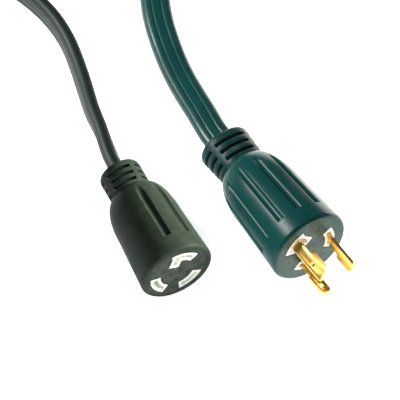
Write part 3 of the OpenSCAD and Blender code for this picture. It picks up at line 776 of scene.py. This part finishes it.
# %% The finishes, one for each slot and one for the thread
OLIVE = (0.021, 0.034, 0.024)
TEAL = (0.002, 0.068, 0.062)
finish("connector_moulding", OLIVE, 0.55, other=(0.018, 0.030, 0.021), dust=0.03, depth=0.05,
       Specular_IOR_Level=0.1)
finish("connector_relief", (0.013, 0.029, 0.020), 0.6, dust=0.02, depth=0.05, Specular_IOR_Level=0.14)
finish("plug_moulding", (0.005, 0.074, 0.068), 0.28, other=(0.004, 0.064, 0.060), dust=0.0,
       Specular_IOR_Level=0.17)
finish("plug_relief", (0.002, 0.048, 0.044), 0.4, dust=0.0, Specular_IOR_Level=0.2)
finish("white_nylon", (0.96, 0.95, 0.92), 0.35, other=(0.93, 0.92, 0.87), wear=0.1, dust=0.03,
       rubbed=(0.9, 0.9, 0.88), Subsurface_Weight=0.35, Subsurface_Scale=0.003)
finish("blade_brass", (0.98, 0.60, 0.13), 0.33, 1.0, other=(0.94, 0.55, 0.11), rubbed=(1.0, 0.78, 0.36),
       dust=0.0, grain=2400.0, depth=0.008)
finish("contact_brass", (0.72, 0.50, 0.24), 0.3, 1.0, dust=0.02, grain=2400.0)
finish("inner_mould", (0.10, 0.10, 0.10), 0.7, depth=0.1, grain=700.0)
finish("ground_insulation", (0.03, 0.30, 0.10), 0.35)
finish("neutral_insulation", (0.80, 0.80, 0.78), 0.35)
finish("line_insulation", (0.03, 0.03, 0.03), 0.35)
finish("copper", (0.80, 0.42, 0.26), 0.35, 1.0, extra=strands, depth=0.15)
finish("tie_webbing", (0.028, 0.028, 0.032), 0.85, wear=0.2, extra=weave, depth=0.3, grain=3000.0,
       Sheen_Weight=0.3)
finish("thread", (0.10, 0.10, 0.11), 0.6, wear=0.1, grain=4000.0, depth=0.05)
finish("cord_jacket", TEAL, 0.3, dust=0.01, Specular_IOR_Level=0.36)
print("finishes:", len(finishes))

# %% [markdown]
# The jacket changes along its length, from a duller olive black at the connector to
# a glossy teal at the plug. The mesh carries how far along each ring lies. The two
# short ends of the jacket inside the strain reliefs don't carry it, so they take the
# connector's colour. They are hidden.

# %% The jacket's colour along the cord
BLACK_OLIVE = (0.010, 0.022, 0.016)
CHANGE_FROM = 0.05   # shares of the cord's length between which the colour changes
CHANGE_TO = 0.9
DULL_END = 0.5       # the roughness at the connector
GLOSSY_END = 0.3     # and at the plug

tree, bsdf, teal = finishes["cord_jacket"][1:]
place = tree.nodes.new("ShaderNodeAttribute")
place.attribute_name = "along"
share = ranged(tree, place.outputs["Fac"], CHANGE_FROM, CHANGE_TO)
gloss = ranged(tree, place.outputs["Fac"], CHANGE_FROM, CHANGE_TO, DULL_END, GLOSSY_END)
tree.links.new(mixed(tree, share, BLACK_OLIVE, teal), bsdf.inputs["Base Color"])
tree.links.new(gloss, bsdf.inputs["Roughness"])
print("jacket changes colour from", CHANGE_FROM, "to", CHANGE_TO, "of its length")

# %% [markdown]
# ## The straps round the coil
#
# Three webbing straps hold the coil. A strap is a ribbon led once round the coil's
# section, with its end laid over its beginning. A node tree sews it: it walks along
# two seam lines and sets one stitch after another.

# %% Straps
TIE_T = 1.2
TIE_W = 18.0
TIE_PLAY = 0.2       # between coil and strap
TIE_ANGLES = (100, 180, 300)
TIE_BEND = 3.0
TIE_START = 18.0     # the strap's beginning, measured from the first corner
TIE_STEP = 1.5
OVERLAP = 34.0       # the strap's end reaches this far over its beginning
RISE_LONG = 8.0      # before it, the end rises over this length
LAP_GAP = 0.05       # between the two layers of the lap
CORNER_POINTS = 7
COIL_HALF = COIL_TURNS * COIL_PITCH / 2
TIE_IN = math.sqrt((COIL_D / 2 - COIL_HALF) ** 2 - TIE_W ** 2 / 4) - TIE_PLAY - TIE_T / 2
TIE_OUT = COIL_D / 2 + COIL_HALF + TIE_PLAY + TIE_T / 2
TIE_TOP = 2 * LAYER_H + 2 * TIE_PLAY + 1.5 * TIE_T


def strap_line():
    """Points (out from the coil's axis, up) along the strap, evenly spaced, and their normals."""
    corners = [(TIE_OUT, TIE_T / 2), (TIE_OUT, TIE_TOP), (TIE_IN, TIE_TOP), (TIE_IN, TIE_T / 2)]
    loop = []
    for i, (u, z) in enumerate(corners):
        du = -TIE_BEND if u == TIE_OUT else TIE_BEND
        dz = -TIE_BEND if z == TIE_TOP else TIE_BEND
        start = math.radians(-90 + 90 * i)
        loop += [(u + du + TIE_BEND * math.cos(a), z + dz + TIE_BEND * math.sin(a), a)
                 for a in np.linspace(start, start + math.pi / 2, CORNER_POINTS)]
    loop = np.array(loop + loop[:2 * CORNER_POINTS])
    along = np.concatenate([[0], np.cumsum(np.hypot(*np.diff(loop[:, :2], axis=0).T))])
    once = along[4 * CORNER_POINTS]
    even = np.arange(TIE_START, once + TIE_START + OVERLAP, TIE_STEP)
    u = np.interp(even, along, loop[:, 0])
    z = np.interp(even, along, loop[:, 1])
    a = np.interp(even, along, np.unwrap(loop[:, 2]))
    rise = once + TIE_START - RISE_LONG
    lift = np.array([(TIE_T + LAP_GAP) * ease((s - rise) / RISE_LONG) for s in even])
    return np.stack([u + lift * np.cos(a), z + lift * np.sin(a)], 1), np.stack([np.cos(a), np.sin(a)], 1)


STRAP, STRAP_OUT = strap_line()


def on_strap(angle, i, side, up):
    """A place on one strap: a step along it, mm to the side and mm above its middle layer."""
    a = math.radians(angle)
    u, z = STRAP[i] + up * STRAP_OUT[i]
    return (COIL_AT[0] + u * math.cos(a) - side * math.sin(a),
            COIL_AT[1] + u * math.sin(a) + side * math.cos(a), z)


# the ribbon's section: mm to the side and mm up, thinner along its two edges
half = TIE_W / 2
ribbon = [(-half, 0), (-half + 0.3, 0.45), (-half + 1.2, 0.6), (half - 1.2, 0.6), (half - 0.3, 0.45),
          (half, 0), (half - 0.3, -0.45), (half - 1.2, -0.6), (-half + 1.2, -0.6), (-half + 0.3, -0.45)]
verts = []
faces = []
for angle in TIE_ANGLES:
    first = len(verts)
    verts += [on_strap(angle, i, side, up) for i in range(len(STRAP)) for side, up in ribbon]
    faces += [tuple(first + v for v in face) for face in rings_to_faces(len(STRAP), len(ribbon))]
straps = solid("coil_straps", verts, faces, Matrix.Identity(4))
smooth(straps, 40)
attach(straps, "root")
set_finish(straps, "tie_webbing")
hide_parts("coil_ties")
print("strap length:", round(TIE_STEP * len(STRAP)), "mm")

# %% The tree that sews
SEW = bpy.data.node_groups.new("sew", "GeometryNodeTree")
SEW.interface.new_socket("Seam", in_out="INPUT", socket_type="NodeSocketGeometry")
inputs = {label: SEW.interface.new_socket(label, in_out="INPUT", socket_type="NodeSocketFloat")
          for label in ("Spacing", "Stitch Length", "Thread")}
inputs["Thread Material"] = SEW.interface.new_socket("Thread Material", in_out="INPUT",
                                                     socket_type="NodeSocketMaterial")
SEW.interface.new_socket("Stitches", in_out="OUTPUT", socket_type="NodeSocketGeometry")
given = SEW.nodes.new("NodeGroupInput")
result = SEW.nodes.new("NodeGroupOutput")
lines = SEW.nodes.new("GeometryNodeMeshToCurve")
points = SEW.nodes.new("GeometryNodeCurveToPoints")
points.mode = "LENGTH"
stitch = SEW.nodes.new("GeometryNodeMeshUVSphere")
stitch.inputs["Segments"].default_value = 8
stitch.inputs["Rings"].default_value = 5
stitch.inputs["Radius"].default_value = 1.0
size = SEW.nodes.new("ShaderNodeCombineXYZ")
place = SEW.nodes.new("GeometryNodeInstanceOnPoints")
whole = SEW.nodes.new("GeometryNodeRealizeInstances")
dye = SEW.nodes.new("GeometryNodeSetMaterial")
sew_links = [
    (given.outputs["Seam"], lines.inputs[0]),
    (lines.outputs[0], points.inputs["Curve"]),
    (given.outputs["Spacing"], points.inputs["Length"]),
    (given.outputs["Thread"], size.inputs["X"]),
    (given.outputs["Thread"], size.inputs["Y"]),
    (given.outputs["Stitch Length"], size.inputs["Z"]),
    (size.outputs[0], place.inputs["Scale"]),
    (points.outputs["Points"], place.inputs["Points"]),
    (stitch.outputs[0], place.inputs["Instance"]),
    (points.outputs["Rotation"], place.inputs["Rotation"]),
    (place.outputs[0], whole.inputs[0]),
    (whole.outputs[0], dye.inputs["Geometry"]),
    (given.outputs["Thread Material"], dye.inputs["Material"]),
    (dye.outputs[0], result.inputs[0])]
for source, target in sew_links:
    SEW.links.new(source, target)
print("sewing nodes:", len(SEW.nodes))

# %% Stitches along both edges of every strap
SEAM_SIDE = 6.8      # from the strap's middle to a seam, in mm
SEAM_UP = 0.42
SEAM_CLEAR = 3       # steps of the strap left free at its beginning, and one less at its end
STITCH_SPACING = 3.4
STITCH_L = 1.2
THREAD_R = 0.24

seam_points = []
seam_edges = []
for angle in TIE_ANGLES:
    for side in (-SEAM_SIDE, SEAM_SIDE):
        first = len(seam_points)
        seam_points += [Vector(on_strap(angle, i, side, SEAM_UP)) * MM
                        for i in range(SEAM_CLEAR, len(STRAP) - SEAM_CLEAR + 1)]
        seam_edges += [(k, k + 1) for k in range(first, len(seam_points) - 1)]
stitches = new_piece("strap_stitches", seam_points, seam_edges, [])
sewing = stitches.modifiers.new("sew", "NODES")
sewing.node_group = SEW
for label, value in (("Spacing", STITCH_SPACING * MM), ("Stitch Length", STITCH_L * MM),
                     ("Thread", THREAD_R * MM), ("Thread Material", finishes["thread"][0])):
    sewing[inputs[label].identifier] = value
baked(stitches)
smooth(stitches, 60)
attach(stitches, "root")
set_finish(stitches, "tie_webbing")
print("stitch faces:", len(stitches.data.polygons))

# %% Give every piece and every remaining solid its finish
slots = {part["node"]: part["material_slot"] for part in frame["record"]["subparts"]}
pieces = [o for o in bpy.data.objects if o.type == "MESH"]
for piece in pieces:
    if piece == stitches:
        continue
    slot_name = slots[piece.name] if piece.name in slots else piece["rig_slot"]
    piece.data.materials.clear()
    piece.data.materials.append(finishes[slot_name][0])
print("dressed:", len(pieces))

# %% [markdown]
# ## Floor and light
#
# The floor has to look pure white without flooding the piece with light. So it
# glows only where the camera or a reflection sees it. Three soft boxes light the
# scene. The connector is lit from the right and the plug from the left, so each of
# the two side lamps leaves the other end out. The front lamp leaves out the plug's
# shell, because its glossy face would turn grey.

# %% Floor
FLOOR_HALF = 6.0
FLOOR_GLOW = 0.8
WORLD_LIGHT = 0.11

corners = [(-FLOOR_HALF, -FLOOR_HALF, 0), (FLOOR_HALF, -FLOOR_HALF, 0),
           (FLOOR_HALF, FLOOR_HALF, 0), (-FLOOR_HALF, FLOOR_HALF, 0)]
floor = new_piece("floor", corners, [], [(0, 1, 2, 3)])

floor_material = bpy.data.materials.new("floor")
floor_material.use_nodes = True
tree = floor_material.node_tree
tree.nodes.clear()
out = tree.nodes.new("ShaderNodeOutputMaterial")
diffuse = tree.nodes.new("ShaderNodeBsdfDiffuse")
diffuse.inputs["Color"].default_value = (0.8, 0.8, 0.8, 1)
glow = tree.nodes.new("ShaderNodeEmission")
both = tree.nodes.new("ShaderNodeAddShader")
path = tree.nodes.new("ShaderNodeLightPath")
seen = math_node(tree, "ADD", path.outputs["Is Camera Ray"], path.outputs["Is Glossy Ray"])
seen.node.use_clamp = True
tree.links.new(math_node(tree, "MULTIPLY", seen, FLOOR_GLOW), glow.inputs["Strength"])
tree.links.new(diffuse.outputs[0], both.inputs[0])
tree.links.new(glow.outputs[0], both.inputs[1])
tree.links.new(both.outputs[0], out.inputs["Surface"])
floor.data.materials.append(floor_material)

world = bpy.data.worlds.new("studio")
world.use_nodes = True
bpy.context.scene.world = world
background = world.node_tree.nodes["Background"]
background.inputs["Color"].default_value = (1, 1, 1, 1)
background.inputs["Strength"].default_value = WORLD_LIGHT
print("floor and world:", floor.name, world.name)


# %% Lamps
def soft_box(name, place, size, power, colour=(1, 1, 1)):
    """A rectangular lamp at a place in metres that looks at the origin, with its power in watts."""
    data = bpy.data.lights.new(name, "AREA")
    data.shape = "RECTANGLE"
    data.size, data.size_y = size
    data.energy = power
    data.color = colour
    lamp = bpy.data.objects.new(name, data)
    lamp.location = place
    lamp.rotation_euler = Vector(place).to_track_quat("Z", "Y").to_euler()
    bpy.context.scene.collection.objects.link(lamp)
    return lamp


def kept_from(lamp, pieces):
    """Lets a lamp light everything but some pieces."""
    group = bpy.data.collections.new(lamp.name + " leaves out")
    for piece in pieces:
        group.objects.link(piece)
    lamp.light_linking.receiver_collection = group
    for link in group.collection_objects:
        link.light_linking.link_state = "EXCLUDE"


left = soft_box("left", (-0.8, 0.3, 0.68), (0.34, 0.34), 12.5)
right = soft_box("right", (0.9, 0.35, 0.5), (0.4, 0.3), 50, (1.0, 0.96, 0.86))
front = soft_box("front", (0.1, -0.9, 0.5), (0.5, 0.3), 4.2)
kept_from(left, [o for o in pieces if o.name.startswith("connector")])
kept_from(right, [o for o in pieces if o.name.startswith("plug") or o == flat_cord or o in blades])
kept_from(front, [o for o in pieces if o.name == "plug_moulded_shell"])
print("lamps:", [lamp.name for lamp in (left, right, front)])
